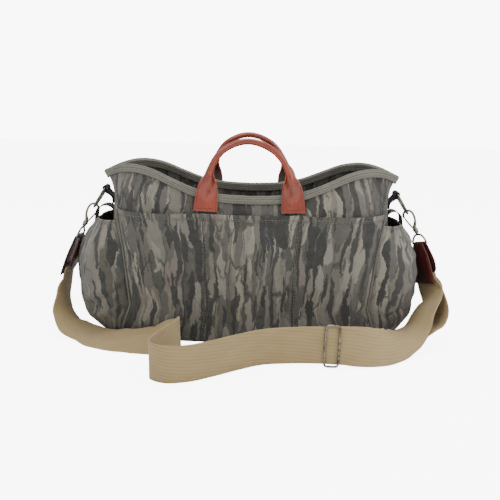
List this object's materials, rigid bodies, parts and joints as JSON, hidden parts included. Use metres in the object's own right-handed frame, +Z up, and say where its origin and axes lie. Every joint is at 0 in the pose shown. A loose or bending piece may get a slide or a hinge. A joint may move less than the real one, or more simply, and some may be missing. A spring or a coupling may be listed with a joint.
{
  "type": "utility bag",
  "caption": "Open-topped canvas utility bag with three front pockets, two end pockets, two leather handles and a webbing shoulder strap on snap hooks.",
  "frame": {"origin": "centre of the flat base, on the surface that it rests on", "axes": "+Z up, +X to the right of the front view, -Y towards the viewer of the front"},
  "size_m": [0.5476, 0.3327, 0.2769],
  "materials": {
    "canvas": "matt woven cotton canvas, printed with upright bark-like patches",
    "binding": "matt canvas hem, lighter than the body",
    "tan_leather": "smooth glossy tan leather",
    "dark_leather": "smooth dark red-brown leather",
    "khaki_webbing": "matt ribbed cotton webbing",
    "black_webbing": "matt black nylon webbing",
    "nickel": "worn antique nickel"
  },
  "bodies": {
    "bag": {"body_shell": "canvas", "rim_binding": "binding", "front_pocket_panel": "canvas", "end_pocket_left": "canvas", "end_pocket_right": "canvas", "handle_front": "tan_leather", "handle_back": "tan_leather", "ring_tab_left": "black_webbing", "bag_ring_left": "nickel", "snap_hook_left": "nickel", "hook_eye_left": "nickel", "strap_tab_left": "dark_leather", "ring_tab_right": "black_webbing", "bag_ring_right": "nickel", "snap_hook_right": "nickel", "hook_eye_right": "nickel", "strap_tab_right": "dark_leather", "strap_webbing": "khaki_webbing", "strap_slider": "nickel"},
    "gate_left": {"snap_gate_left": "nickel"},
    "gate_right": {"snap_gate_right": "nickel"}
  },
  "joints": [
    {"name": "gate_left_hinge", "type": "hinge", "parent": "bag", "child": "gate_left", "pos_m": [-0.22943, 0, 0.15283], "axis": [0, -1, 0], "range_deg": [0, 18], "stiffness_Nm_per_rad": 0.01, "springref_deg": -20.05},
    {"name": "gate_right_hinge", "type": "hinge", "parent": "bag", "child": "gate_right", "pos_m": [0.22943, 0, 0.15283], "axis": [0, 1, 0], "range_deg": [0, 18], "stiffness_Nm_per_rad": 0.01, "springref_deg": -20.05}
  ]
}
